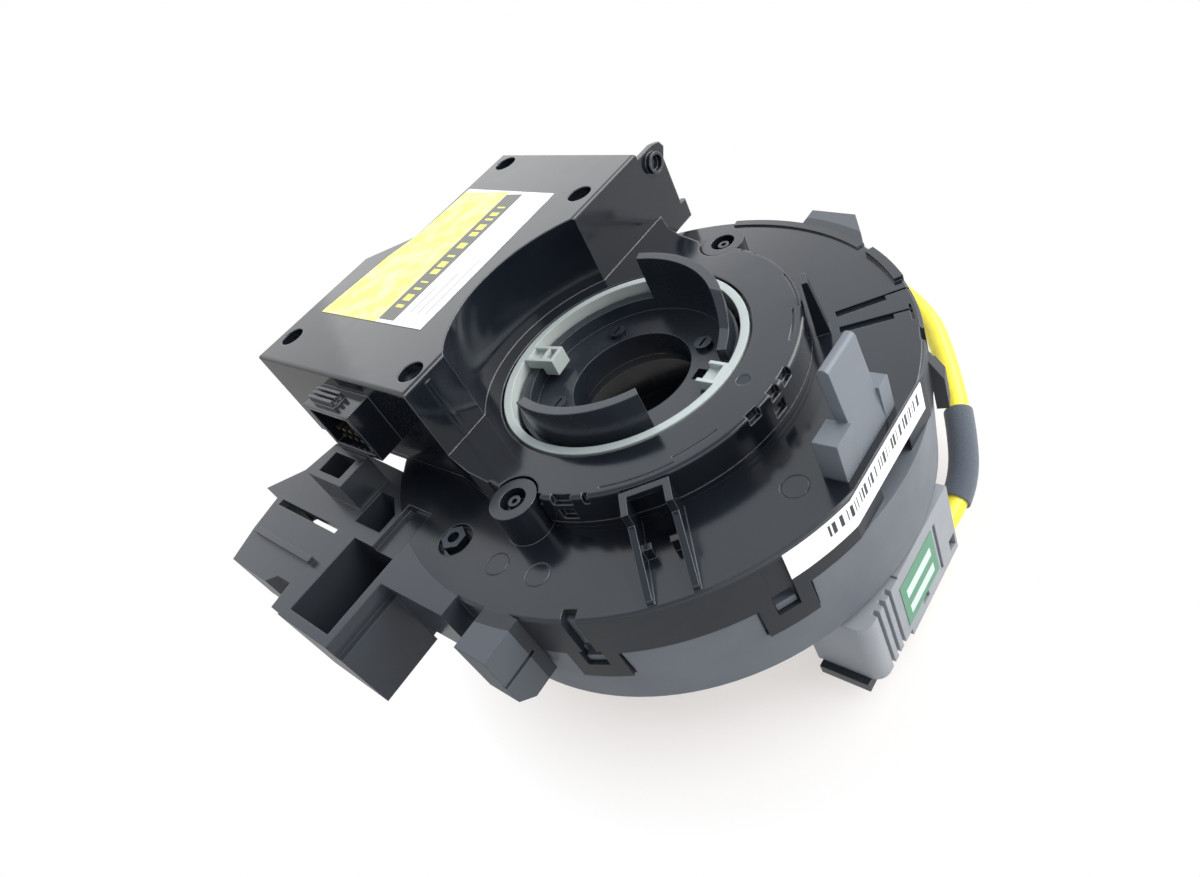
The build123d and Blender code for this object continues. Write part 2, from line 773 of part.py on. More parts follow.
def pin_places():
    """The (y, z) middles of the sensor connector's pins, in two rows."""
    places = []
    for row in (-1, 1):
        z = board_bottom + board_thickness / 2 + row * (board_thickness + pin_width) / 2
        for column in range(sensor_pin_columns):
            y = sum(shroud_y) / 2 + (column - (sensor_pin_columns - 1) / 2) * pin_pitch
            places.append((y, z))
    return places


def sensor_shroud():
    """The socket on the box's left end, with the ridged thumb pad on its top."""
    outer_x = box_left - shroud_reach
    body = block((outer_x, box_left + box_wall), shroud_y, shroud_z)
    body -= block((outer_x - 1, box_left), (shroud_y[0] + shroud_wall, shroud_y[1] - shroud_wall),
                  (shroud_z[0] + shroud_wall, shroud_z[1] - shroud_wall))
    pad_x = outer_x + shroud_wall
    body += block((pad_x, pad_x + thumb_length), thumb_y, (shroud_z[1], shroud_z[1] + thumb_ridge))
    for ridge in range(3):
        x = pad_x + ridge * (thumb_length - thumb_ridge) / 2
        body += block((x, x + thumb_ridge), thumb_y, (shroud_z[1], shroud_z[1] + thumb_height))
    return body


def hook_bracket():
    """The curled plate and its foot on the box's right end."""
    root = box_front_right - 1
    plate = make_face(Plane.XZ * Polyline(
        (root, hook_low), *hook_plate, (root, hook_plate[-1][1]), close=True))
    body = Pos(0, box_front + hook_wall, 0) * extrude(plate, hook_wall)
    body += block(hook_foot_x, (box_front, box_front + hook_wall), (hook_low, hook_foot_top))
    x, z = hook_roll
    roll = Circle(hook_roll_radius) - Circle(hook_roll_radius - hook_wall / 2)
    return body + Pos(x, box_front, z) * Rot(90, 0, 0) * extrude(roll, hook_wall)


def sensor_cover():
    ear_cut = ear_radius + boss_gap
    plate_low = annulus_top - annulus_wall
    outer = post(0, 0, annulus_radius, base_thickness, annulus_top)
    outer = fillet(outer.faces().sort_by(Axis.Z)[-1].edges(), annulus_round)
    tower = Pos(0, 0, base_thickness) * extrude(box_points(0), box_top - base_thickness)
    tower = fillet(tower.faces().sort_by(Axis.Z)[-1].edges(), box_edge_round)
    tower -= post(0, 0, scoop_radius, annulus_top, box_top + 1)
    outer += tower + shoulders(base_thickness, annulus_top)
    cavity = post(0, 0, annulus_radius - annulus_wall, base_thickness - 1, plate_low)
    room = Pos(0, 0, base_thickness - 1) * extrude(box_points(box_wall),
                                                  box_top - box_roof - base_thickness + 1)
    room -= post(0, 0, scoop_radius + box_wall, plate_low, box_top)
    cavity += room
    for side in (-1, 1):
        cavity -= post(side * ear_offset, ear_y, ear_cut + annulus_wall, 0, box_top)
    body = outer - cavity
    for side in (-1, 1):
        body -= post(side * ear_offset, ear_y, ear_cut, 0, box_top)
    body -= post(0, 0, annulus_hole_radius, base_thickness - 1, annulus_top + 1)
    body -= annulus_cuts()
    for x, y in screw_points:
        body += post(x, y, post_radius, base_thickness, box_top - box_roof)
    for x, y in screw_points:
        body -= post(x, y, screw_radius + screw_clearance, base_thickness - 1, box_top)
        body -= post(x, y, screw_recess_radius, box_top - screw_recess_depth, box_top + 1)
    body += sensor_shroud() + hook_bracket()
    slot = pin_width / 2 + 0.1
    for y, z in pin_places():
        body -= block((box_left - 1, box_left + box_wall + 1), (y - slot, y + slot), (z - slot, z + slot))
    return body


def sensor_pins():
    pins = []
    for y, z in pin_places():
        pins.append(block((box_left - shroud_reach + shroud_wall, box_left + box_wall + 5),
                          (y - pin_width / 2, y + pin_width / 2),
                          (z - pin_width / 2, z + pin_width / 2)))
    return Compound(pins)


def cover_screws():
    screws = []
    seat = box_top - screw_recess_depth
    for x, y in screw_points:
        head = post(x, y, screw_head_radius, seat, seat + screw_head_height)
        for turn in (0, 90):
            head -= Pos(x, y, seat + screw_head_height) * Rot(0, 0, turn) * Box(3.2, 0.7, 1.6)
        screws.append(head + post(x, y, screw_radius, 0.2, seat))
    x, y = ring_screw
    seat = annulus_top - ring_screw_depth
    small = post(x, y, ring_screw_head, seat, annulus_top - 0.1)
    screws.append(small + post(x, y, ring_screw_shank, seat - ring_screw_length, seat))
    return Compound(screws)


def sensor_board():
    plate = Pos(0, 0, board_bottom) * extrude(box_points(box_wall + board_gap), board_thickness)
    plate -= block((box_left - 5, box_back_right + 5), (0, board_front), (0, box_top))
    for x, y in screw_points:
        plate -= post(x, y, post_radius + 0.4, 0, box_top)
    return plate


def hall_chips():
    chips = []
    for teeth, slot in ((gear_one_teeth, gear_one_slot), (gear_two_teeth, gear_two_slot)):
        (x, y), _ = gear_place(teeth, slot)
        chips.append(block((x - chip_side / 2, x + chip_side / 2),
                           (y - chip_side / 2, y + chip_side / 2),
                           (board_bottom - chip_height, board_bottom)))
    return Compound(chips)


def switch_pins():
    """Two rows of terminal pins standing on the floor of the harness socket."""
    pins = []
    middle_x = sum(socket_x) / 2 - rim_radius
    middle_y = sum(socket_y) / 2
    floor_z = -socket_depth + socket_floor
    for row in (-1, 1):
        for column in range(pin_columns):
            x = middle_x + (column - (pin_columns - 1) / 2) * pin_pitch
            y = middle_y + row * pin_pitch
            pins.append(block((x - pin_width / 2, x + pin_width / 2),
                              (y - pin_width / 2, y + pin_width / 2),
                              (floor_z, floor_z + pin_rise)))
    return Compound(pins)


# Rotor

def rotor_disc():
    plate_low = -housing_depth + housing_lip_thickness + disc_lip_gap
    plate_top = plate_low + disc_thickness
    shelf_inner = hub_screw_radius_at - shelf_inside
    body = turned([
        (front_hole_radius, plate_top), (drum_radius - drum_wall, plate_top),
        (drum_radius - drum_wall, drum_top - drum_shelf), (shelf_inner, drum_top - drum_shelf),
        (shelf_inner, drum_top), (drum_radius, drum_top), (drum_radius, plate_top),
        (disc_radius, plate_top), (disc_radius, plate_low), (front_face_radius, plate_low),
        (front_face_radius, front_face_z), (front_hole_radius, front_face_z)])
    for angle in hub_screw_angles:
        x, y = polar(hub_screw_radius_at, angle)
        body -= post(x, y, hub_screw_shank + screw_clearance, drum_top - drum_shelf - 1, drum_top + 1)
    return body


def low_tab():
    return sector_block(tab_radius - tab_wall, tab_radius, *tab_low_angles, ledge_z, tab_low_top)


def high_tab():
    """The tall curved tab, whose top slopes and steps down at its near end."""
    reach = hub_radius + 1
    tab = sector_block(tab_radius - tab_wall, tab_radius, *tab_high_angles, ledge_z, 2 * tab_high_top)
    slope = make_face(Plane.YZ * Polyline(
        (-reach, 0), (reach, 0), (reach, tab_high_top + tab_high_slope * reach),
        (-reach, tab_high_top - tab_high_slope * reach), close=True))
    steps = make_face(Plane.XZ * Polyline(
        (0, 0), (reach, 0), (reach, 2 * tab_high_top), (tab_high_steps[0][0], 2 * tab_high_top),
        *tab_high_steps, (0, tab_high_steps[-1][1]), close=True))
    under_steps = Pos(0, reach, 0) * extrude(steps, 2 * reach)
    return tab & extrude(slope, reach) & under_steps


def rotor_hub():
    floor_z = ledge_z - bore_length
    body = turned([
        (bore_radius, floor_z), (hub_radius, floor_z), (hub_radius, hub_rim_top),
        (hub_radius - hub_wall, hub_rim_top), (hub_radius - hub_wall, ledge_z),
        (bore_radius, ledge_z)])
    body += low_tab() + high_tab()
    x, y = ledge_pocket
    half = ledge_pocket_side / 2
    body -= block((x - half, x + half), (y - half, y + half), (ledge_z - ledge_pocket_depth, ledge_z + 1))
    for angle in hub_screw_angles:
        x, y = polar(hub_screw_radius_at, angle)
        body -= post(x, y, hub_screw_shank + screw_clearance, floor_z - 1, ledge_z + 1)
    return body


def hub_screws():
    screws = []
    for angle in hub_screw_angles:
        x, y = polar(hub_screw_radius_at, angle)
        screw = post(x, y, hub_screw_head, ledge_z, ledge_z + hub_screw_height)
        screw -= Pos(x, y, ledge_z + hub_screw_height) * Box(2.4, 0.5, 0.8)
        screw += post(x, y, hub_screw_shank, ledge_z - bore_length - drum_shelf, ledge_z)
        screws.append(screw)
    return Compound(screws)


# Flat cable

def ribbon_cable():
    """A flat cable wound in half turns about two centres, so each turn grows by one pitch."""
    shift = ribbon_pitch / 4
    face = None
    for half in range(2 * ribbon_turns):
        radius = ribbon_inner_radius + shift + half * 2 * shift
        start = 180 * (half % 2)
        arc = sector(radius, radius + ribbon_thickness, start, start + 180)
        piece = Pos(shift if half % 2 else -shift, 0) * arc
        face = piece if face is None else face + piece
    top = -cover_thickness - slip_thickness
    return Pos(0, 0, top - ribbon_height) * extrude(face, ribbon_height)


def slip_sheet():
    inner = drum_radius + 1.2
    outer = housing_bottom_radius - housing_wall - 0.4
    top = -cover_thickness
    ring = Circle(outer) - Circle(inner)
    sheet = Pos(0, 0, top - slip_thickness) * extrude(ring, slip_thickness)
    return sheet - block((-rim_radius, rim_radius), (-rim_radius, -flat_distance + skirt_wall + 1.5),
                         (top - 1, top + 1))


# Wheel-side connector

def front_connector():
    base_top = front_face_z
    plate = block((tower_block_right, tower_x[1]), (tower_front, tower_front + tower_plate),
                  (tower_bottom, tower_top))
    block_body = block((tower_x[0], tower_block_right), (tower_front, tower_back),
                       (tower_bottom + 2.0, base_top))
    corner = block_body.edges().filter_by(Axis.Z).sort_by(lambda e: e.center().X + e.center().Y)[0]
    block_body = fillet(corner, tower_round)
    base = block((tower_x[0], tower_x[1]), (tower_front + tower_plate, tower_back),
                 (base_top - tower_base, base_top))
    body = plate + block_body + base
    for rib in range(tower_rib_count):
        x = tower_block_right - tower_rib_start - rib * tower_rib_pitch
        body -= block((x - tower_rib_groove, x), (tower_front - 1, tower_front + 1.2),
                      (tower_bottom - 1, tower_top + 2))
    through = (tower_front - 1, tower_front + tower_plate + 1)
    half = tower_window / 2
    body -= block((tower_slot_x - tower_rib_groove / 2, tower_slot_x + tower_rib_groove / 2), through,
                  tower_slot_z)
    for x in tower_window_x:
        body -= block((x - half + 0.5, x + half - 0.5), through,
                      (tower_window_z - half, tower_window_z + half))
    pocket = block((tower_x[0] + insert_lock_wall, tower_block_right - insert_lock_wall),
                   (tower_front + tower_plate + 1, tower_back - insert_lock_wall),
                   (tower_bottom, front_face_z - tower_roof))
    return body - pocket - lead_tube(lead_path(), lead_diameter / 2 + lead_gap)


def connector_insert():
    """The black lock of the tower's socket, with its six terminal slots."""
    low = tower_bottom - 0.4
    gap = 0.15
    body = block((tower_x[0] + insert_lock_wall + gap, tower_block_right - insert_lock_wall - gap),
                 (tower_front + tower_plate + 1 + gap, tower_back - insert_lock_wall - gap),
                 (tower_bottom + 2.0, front_face_z - tower_roof))
    body += block((tower_x[0] - 1.6, tower_block_right - 2.0),
                  (tower_front + 2.6, tower_back - 1.0), (low, tower_bottom + 2.0))
    for column in range(3):
        for row in range(2):
            x = tower_x[0] + 3.4 + column * 3.2
            y = tower_front + 5.6 + row * 4.2
            body -= block((x, x + 1.8), (y, y + 2.4), (low - 1, low + 3.0))
    return body


def lead_radii():
    radii = []
    for before, corner, after in zip(lead_route, lead_route[1:], lead_route[2:]):
        first = Vector(*corner) - Vector(*before)
        second = Vector(*after) - Vector(*corner)
        half_turn = radians(first.get_angle(second) / 2)
        radii.append(0.45 * min(first.length, second.length) / tan(half_turn))
    return radii


def lead_path():
    return FilletPolyline(*lead_route, radius=lead_radii())


def lead_tube(path, radius, inner=0.0):
    section = Circle(radius) - Circle(inner) if inner else Circle(radius)
    start = Plane(origin=path @ 0, z_dir=path % 0)
    return sweep(start * section, path=path)


def airbag_lead():
    return lead_tube(lead_path(), lead_diameter / 2)


def foam_sleeve():
    path = lead_path().trim(foam_span[0], foam_span[1])
    return lead_tube(path, foam_radius, lead_diameter / 2)


def lead_plug():
    x, y, z = lead_route[-1]
    x += plug_grip
    body = block((x - plug_length, x), (y - plug_width / 2, y + plug_width / 2),
                 (front_face_z - plug_height, front_face_z))
    body -= block((x - plug_length - 1, x - plug_length + plug_mouth),
                  (y - plug_width / 2 + plug_wall, y + plug_width / 2 - plug_wall),
                  (front_face_z - plug_height + plug_wall, front_face_z - plug_roof))
    return body - lead_tube(lead_path(), lead_diameter / 2 + lead_gap)


# Labels

def side_label():
    """One strip that runs along the rim and on over the flat."""
    outer = rim_radius + label_thickness
    low = -rim_edge - side_label_height
    flat_start = -90 - degrees(acos(flat_distance / rim_radius))
    label = sector_block(rim_radius, outer, side_label_start, flat_start, low, -rim_edge)
    label += block((polar(rim_radius, flat_start)[0], flat_half_length - side_label_inset),
                   (-flat_distance - label_thickness, -flat_distance), (low, -rim_edge))
    return label


def sensor_label():
    return prism(box_label, box_top, box_top + label_thickness)


def tower_label():
    return block(tower_label_x, (tower_front - label_thickness, tower_front), tower_label_z)


pieces = {
    "stator_cover": stator_cover(),
    "stator_housing": stator_housing(),
    "nut_insert": nut_insert(),
    "switch_pins": switch_pins(),
    "slip_sheet": slip_sheet(),
    "ribbon_cable": ribbon_cable(),
    "sensor_base": sensor_base(),
    "sensor_cover": sensor_cover(),
    "sensor_board": sensor_board(),
    "sensor_pins": sensor_pins(),
    "hall_chips": hall_chips(),
    "cover_screws": cover_screws(),
    "measuring_gear_one": measuring_gear(gear_one_teeth, gear_one_slot),
    "measuring_gear_two": measuring_gear(gear_two_teeth, gear_two_slot),
    "magnet_one": gear_magnet(gear_one_teeth, gear_one_slot),
    "magnet_two": gear_magnet(gear_two_teeth, gear_two_slot),
    "sensor_ring": sensor_ring(),
    "rotor_disc": rotor_disc(),
    "rotor_hub": rotor_hub(),
    "hub_screws": hub_screws(),
    "front_connector": front_connector(),
    "connector_insert": connector_insert(),
    "airbag_lead": airbag_lead(),
    "foam_sleeve": foam_sleeve(),
    "lead_plug": lead_plug(),
    "side_label": side_label(),
    "sensor_label": sensor_label(),
    "tower_label": tower_label(),
}

os.makedirs("parts", exist_ok=True)
for name, solid in pieces.items():
    export_step(solid, f"parts/{name}.step")
print("lead radii", [round(radius, 1) for radius in lead_radii()])
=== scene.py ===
# %% [markdown]
# # A steering clock spring
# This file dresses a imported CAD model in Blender, one cell at a time.
# The CAD model gives every rigid piece its shape and place, in metres, and the cells here give
# the pieces their finish, lay the yellow lead, and set up the camera and the light.

import bmesh
import bpy
from mathutils import Matrix, Vector


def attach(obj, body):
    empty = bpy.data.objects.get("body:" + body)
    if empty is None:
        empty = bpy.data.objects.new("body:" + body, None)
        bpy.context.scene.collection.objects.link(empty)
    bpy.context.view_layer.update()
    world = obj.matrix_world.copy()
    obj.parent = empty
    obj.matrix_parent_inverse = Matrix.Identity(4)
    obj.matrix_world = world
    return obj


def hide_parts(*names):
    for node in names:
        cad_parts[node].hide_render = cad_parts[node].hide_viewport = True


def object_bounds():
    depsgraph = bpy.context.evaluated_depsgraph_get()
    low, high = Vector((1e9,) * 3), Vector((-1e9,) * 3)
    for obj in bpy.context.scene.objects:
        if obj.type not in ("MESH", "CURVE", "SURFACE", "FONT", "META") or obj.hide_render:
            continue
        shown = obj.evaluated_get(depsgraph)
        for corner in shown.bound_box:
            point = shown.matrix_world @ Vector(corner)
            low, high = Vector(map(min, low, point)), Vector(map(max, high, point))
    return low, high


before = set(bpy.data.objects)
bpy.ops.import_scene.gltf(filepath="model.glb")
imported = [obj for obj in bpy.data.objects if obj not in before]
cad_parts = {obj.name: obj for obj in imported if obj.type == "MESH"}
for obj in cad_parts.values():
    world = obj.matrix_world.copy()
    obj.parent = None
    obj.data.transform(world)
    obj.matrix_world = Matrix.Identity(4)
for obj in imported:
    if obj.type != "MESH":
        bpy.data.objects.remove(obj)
cad_box = [list(corner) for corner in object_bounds()]
mm = 0.001
print("nodes", len(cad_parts), "box", cad_box)

# %% [markdown]
# ## Camera
# The photograph was taken close up, with the part tilted in the frame. A camera can be given by
# Euler angles, but a matrix built from its own right, up and back directions is easier to get
# right, because those three directions come straight from lining the photograph up with the model.

# %% Camera
camera_place = Vector((-83.99, -111.15, 102.97)) * mm
camera_right = Vector((0.56447896, -0.72464222, -0.39529376))
camera_up = Vector((0.71368458, 0.18783087, 0.67481397))
camera_back = Vector((-0.41475032, -0.66303335, 0.62319255))
sensor_width_mm = 36.0
focal_length_mm = 24.47

camera_data = bpy.data.cameras.new("photo_camera")
camera_data.sensor_width = sensor_width_mm
camera_data.lens = focal_length_mm
camera_data.clip_start = 5 * mm
camera = bpy.data.objects.new("photo_camera", camera_data)
bpy.context.scene.collection.objects.link(camera)
camera.matrix_world = Matrix.Translation(camera_place) @ Matrix(
    (camera_right, camera_up, camera_back)).transposed().to_4x4()
bpy.context.scene.camera = camera
print("camera", [round(value, 4) for value in camera_place])

# %% [markdown]
# ## Colours and nodes
# Colours are written as sRGB hex values, as a paint program shows them, and one function turns
# them into the linear values that shaders work in. Another adds a node with its settings and its
# inputs, so that each material below reads as a short list of what its surface does. An input
# takes a number, a colour, an output of another node, or a node, which stands for its first
# output. Many nodes hide the sockets that their settings don't use, so only enabled ones count.

# %% Helpers for colours and nodes
def hex_colour(code):
    channels = [int(code[i:i + 2], 16) / 255 for i in (1, 3, 5)]
    linear = [c / 12.92 if c <= 0.04045 else ((c + 0.055) / 1.055) ** 2.4 for c in channels]
    return (*linear, 1.0)


def enabled(sockets, name=None):
    return next(s for s in sockets if s.enabled and name in (None, s.name))


def set_inputs(tree, node, inputs):
    for name, value in inputs.items():
        socket = node.inputs[name] if isinstance(name, int) else enabled(node.inputs, name)
        if isinstance(value, bpy.types.Node):
            value = enabled(value.outputs)
        if isinstance(value, bpy.types.NodeSocket):
            tree.links.new(value, socket)
        else:
            socket.default_value = value
    return node


def add(tree, kind, inputs=None, **settings):
    node = tree.nodes.new("ShaderNode" + kind)
    for name, value in settings.items():
        setattr(node, name, value)
    return set_inputs(tree, node, inputs or {})


print("white is", hex_colour("#ffffff"))

# %% [markdown]
# ## Materials and places
# Every material starts as a Principled shader joined to an output, and goes on whole pieces of
# the CAD model. Patterns could follow a UV map, but moulded pieces have no seams to follow, so
# they read Object coordinates: metres from the origin, which move with the piece.

# %% Helpers for materials
def new_material(name):
    material = bpy.data.materials.new(name)
    material.use_nodes = True
    tree = material.node_tree
    tree.nodes.clear()
    shader = add(tree, "BsdfPrincipled")
    add(tree, "OutputMaterial", {"Surface": shader})
    return material, tree, shader


def paint(material, *names):
    for name in names:
        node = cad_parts[name]
        node.data.materials.clear()
        node.data.materials.append(material)
    print(material.name, "on", ", ".join(names))


def place_on_piece(tree):
    """The x, y and z of a point on the piece, in metres."""
    place = add(tree, "TexCoord").outputs["Object"]
    return add(tree, "SeparateXYZ", {"Vector": place}).outputs


def blotches(tree, width_mm, detail=3.0, rugged=0.5):
    """Soft random blotches about width_mm wide, between 0 and 1."""
    place = add(tree, "TexCoord").outputs["Object"]
    return add(tree, "TexNoise", {
        "Vector": place, "Scale": 1 / (width_mm * mm), "Detail": detail, "Roughness": rugged})


print("pieces to paint", len(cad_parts))

# %% [markdown]
# ## Dust
# The grained faces hold a little pale dust. Specks could be tiny meshes, but a Voronoi pattern
# adds no faces: it cuts space into cells with a point in each, and a few of the cells, picked by
# their random colour, show a speck round their point. A speck is about 0.3 mm wide.

# %% Dust recipe
dust_grey = hex_colour("#c8ccd0")
dust_cell_mm = 3.2


def dusty(tree, body, amount):
    place = add(tree, "TexCoord").outputs["Object"]
    specks = add(tree, "TexVoronoi", {
        "Vector": place, "Scale": 1 / (dust_cell_mm * mm), "Randomness": 1.0})
    near = add(tree, "MapRange", {
        "Value": specks.outputs["Distance"], "From Min": 0.05, "From Max": 0.035})
    picked = add(tree, "Math", {
        0: specks.outputs["Color"], 1: 1.0 - amount}, operation="GREATER_THAN")
    mask = add(tree, "Math", {0: near, 1: picked}, operation="MULTIPLY")
    return add(tree, "Mix", {"Factor": mask, "A": body, "B": dust_grey}, data_type="RGBA")


print("dust cells", dust_cell_mm, "mm")

# %% [markdown]
# ## Moulded plastic
# Most of the real part is injection-moulded PBT and POM, coloured right through. A polished mould
# leaves a glossy skin, and a spark-eroded one leaves a fine grain that scatters the light into
# grey. Both are one recipe with other numbers: a base colour with a slow change of tone, a grain
# in the bump, and edges that a Bevel node rounds by a few tenths of a millimetre. The corners
# could be rounded in the mesh instead, but the node leaves the CAD shapes alone. A moulded edge
# is never sharp, and its thin line of light, partly from the rounding and partly a highlight
# painted into the colour, is what makes plastic look real.

# %% Moulded plastic recipe
plastic_ior = 1.54
tone_width_mm = 18.0
worn_width_mm = 7.0
painted_edge_glint = hex_colour("#8a9096")


def moulded_plastic(name, colour, tone, roughness, grain_mm, grain_depth_mm, edge_mm=0.3,
                    dust=0.0, edge_light=0.35):
    material, tree, shader = new_material(name)
    slow = add(tree, "MapRange", {
        "Value": blotches(tree, tone_width_mm), "From Min": 0.35, "From Max": 0.65})
    body = add(tree, "Mix", {
        "Factor": slow, "A": hex_colour(colour), "B": hex_colour(tone)}, data_type="RGBA")

    # The rounded normal turns away from the true one near an edge, and there a pale highlight is
    # painted into the colour.
    round_edge = add(tree, "Bevel", {"Radius": edge_mm * mm}, samples=6)
    true_normal = add(tree, "NewGeometry").outputs["Normal"]
    turn = add(tree, "VectorMath", {0: round_edge, 1: true_normal}, operation="DOT_PRODUCT")
    edge = add(tree, "MapRange", {
        "Value": turn, "From Min": 0.98, "From Max": 0.75, "To Max": edge_light})
    body = add(tree, "Mix", {"Factor": edge, "A": body, "B": painted_edge_glint}, data_type="RGBA")
    if dust:
        body = dusty(tree, body, dust)

    rough = add(tree, "MapRange", {
        "Value": blotches(tree, worn_width_mm, 4.0), "From Min": 0.3, "From Max": 0.7,
        "To Min": roughness - 0.04, "To Max": roughness + 0.05})
    bump = add(tree, "Bump", {
        "Height": blotches(tree, grain_mm, 2.0), "Normal": round_edge,
        "Strength": 1.0, "Distance": grain_depth_mm * mm})
    set_inputs(tree, shader, {
        "Base Color": body, "Roughness": rough, "Normal": bump, "IOR": plastic_ior})
    return material, tree, shader, body


print("plastic has an IOR of", plastic_ior)

# %% [markdown]
# ## Glossy, satin and grained pieces
# The sensor box comes from a polished mould, the rotor from a satin one, and the housing and the
# tower from grained ones. A real spark-eroded grain is about 0.05 mm wide, which is too fine to
# show from the camera, so it is drawn 0.25 mm wide here.

# %% Glossy, satin and grained plastic
# Polished PBT: near black, with sharp reflections and bright edges.
glossy_pbt, *_ = moulded_plastic(
    "polished_black_pbt", "#13171d", "#181d24", roughness=0.12,
    grain_mm=0.6, grain_depth_mm=0.004, edge_mm=0.5, edge_light=0.6)
paint(glossy_pbt, "sensor_cover", "sensor_base")

# Satin POM: reflections are there, but soft.
satin_pom, *_ = moulded_plastic(
    "satin_black_pom", "#22272e", "#272c34", roughness=0.26, grain_mm=0.4, grain_depth_mm=0.006)
paint(satin_pom, "rotor_disc", "rotor_hub", "connector_insert")

# Grained PBT: black plastic that looks grey, because its grain scatters the light.
grained_pbt, *_ = moulded_plastic(
    "grained_grey_black_pbt", "#60656c", "#676c73", roughness=0.45,
    grain_mm=0.25, grain_depth_mm=0.02, dust=0.02)
paint(grained_pbt, "stator_housing")

# The tower is moulded in a paler grey, with the same grain.
tower_pbt, *_ = moulded_plastic(
    "grained_grey_pbt", "#999ca0", "#919499", roughness=0.5, grain_mm=0.25, grain_depth_mm=0.02)
paint(tower_pbt, "front_connector")

# %% [markdown]
# ## The stator cover has several finishes
# Its flat top is polished PBT, its connector block is duller, and its skirt, claws and clip
# bracket come from grained parts of the mould. It is one piece, and cutting it up would show
# seams, so its material looks at where a point lies. A Math node that compares gives 1 for yes
# and 0 for no. The product of two such masks means both, and their maximum means either.

# %% Stator cover: plastic, rim and skirt
rim_radius = 57.2 * mm
claw_radius = 60.0 * mm
skirt_top = -0.4 * mm
polished_roughness, grained_roughness = 0.17, 0.45
block_share = 0.3

cover_pbt, tree, shader, body = moulded_plastic(
    "two_finish_black_pbt", "#15191e", "#1a1e25", roughness=polished_roughness,
    grain_mm=0.5, grain_depth_mm=0.006, dust=0.02, edge_light=0.5)
x, y, z = place_on_piece(tree)
x_squared = add(tree, "Math", {0: x, 1: x}, operation="MULTIPLY")
y_squared = add(tree, "Math", {0: y, 1: y}, operation="MULTIPLY")
radius_squared = add(tree, "Math", {0: x_squared, 1: y_squared}, operation="ADD")
past_rim = add(tree, "Math", {0: radius_squared, 1: rim_radius ** 2}, operation="GREATER_THAN")
past_claw = add(tree, "Math", {0: radius_squared, 1: claw_radius ** 2}, operation="GREATER_THAN")
below = add(tree, "Math", {0: z, 1: skirt_top}, operation="LESS_THAN")
side = add(tree, "Math", {0: past_rim, 1: below}, operation="MAXIMUM")
print("cover rim", rim_radius, "claws from", claw_radius)

# %% [markdown]
# ## The cover's block, bracket and claws
# The connector block is on the cover's left, the clip bracket rises at the front edge, and the
# claws are what reaches out past the skirt. Their faces could be picked one by one, but a limit
# or two on x, y and z finds each of them, and stays right when the mesh changes.

# %% Stator cover: block, bracket and claws
block_low_y, block_high_x = -2.0 * mm, -30.0 * mm
bracket_low_z, bracket_high_y = 0.2 * mm, -44.0 * mm

beside = add(tree, "Math", {0: y, 1: block_low_y}, operation="GREATER_THAN")
left = add(tree, "Math", {0: x, 1: block_high_x}, operation="LESS_THAN")
block = add(tree, "Math", {0: beside, 1: left}, operation="MULTIPLY")
not_block = add(tree, "Math", {0: 1.0, 1: block}, operation="SUBTRACT")
outer_block = add(tree, "Math", {0: block, 1: past_rim}, operation="MULTIPLY")

above = add(tree, "Math", {0: z, 1: bracket_low_z}, operation="GREATER_THAN")
front = add(tree, "Math", {0: y, 1: bracket_high_y}, operation="LESS_THAN")
bracket = add(tree, "Math", {0: above, 1: front}, operation="MULTIPLY")

skirt = add(tree, "Math", {0: side, 1: not_block}, operation="MULTIPLY")
claw = add(tree, "Math", {0: skirt, 1: past_claw}, operation="MULTIPLY")
grained = add(tree, "Math", {0: skirt, 1: bracket}, operation="MAXIMUM")
print("block up to x", block_high_x, "bracket up to y", bracket_high_y)

# %% [markdown]
# ## The cover's colour and roughness
# Each colour is mixed over the last one where its mask is 1, so a later one wins where two
# overlap. The grained parts are greyer and rougher, and the block gets three tenths of the way
# from the polished roughness to the grained one. The clip bracket's paler grey is partly its
# grain and partly painted light on its faces.

# %% Stator cover: colour and roughness in each place
# The bracket's paler grey is partly its grain and partly painted light on its faces.
cover_finishes = [(grained, "#24282d"), (claw, "#4d5258"), (bracket, "#6e747b"),
                  (outer_block, "#33373d")]
for mask, colour in cover_finishes:
    body = add(tree, "Mix", {
        "Factor": mask, "A": body, "B": hex_colour(colour)}, data_type="RGBA")
dull = add(tree, "Math", {
    0: outer_block, 1: block_share, 2: grained}, operation="MULTIPLY_ADD")
rough = add(tree, "MapRange", {
    "Value": dull, "To Min": polished_roughness, "To Max": grained_roughness})
set_inputs(tree, shader, {"Base Color": body, "Roughness": rough})
paint(cover_pbt, "stator_cover")

# %% [markdown]
# ## Natural polymer
# The ring and the two measuring gears are unfilled POM. It is milky white, and light goes a
# little way in before it comes out again, which softens the shadows in its teeth. Glass-like
# transmission would look too clear, so a small share of subsurface scattering does it.

# %% Natural POM
ring_pom, tree, shader, _ = moulded_plastic(
    "natural_white_pom", "#bcc4c1", "#b4bcb8", roughness=0.32,
    grain_mm=0.5, grain_depth_mm=0.006, edge_light=0.0)
set_inputs(tree, shader, {
    "Subsurface Weight": 0.15, "Subsurface Radius": (2.0 * mm, 2.0 * mm, 1.8 * mm),
    "Subsurface Scale": 0.5})
paint(ring_pom, "sensor_ring", "measuring_gear_one", "measuring_gear_two")

# %% [markdown]
# ## Metal, board and film
# Screws are zinc plated, terminals are tinned, the magnets are sintered, the board has a green
# solder mask, and the flat cable is laminated film. These pieces are small, so one grain is
# enough for the tone and the bump of each, and on metal it changes the roughness too. The real
# grain is too fine to show, so it is drawn a few tenths of a millimetre wide on metal, and
# wider on the board and the films.

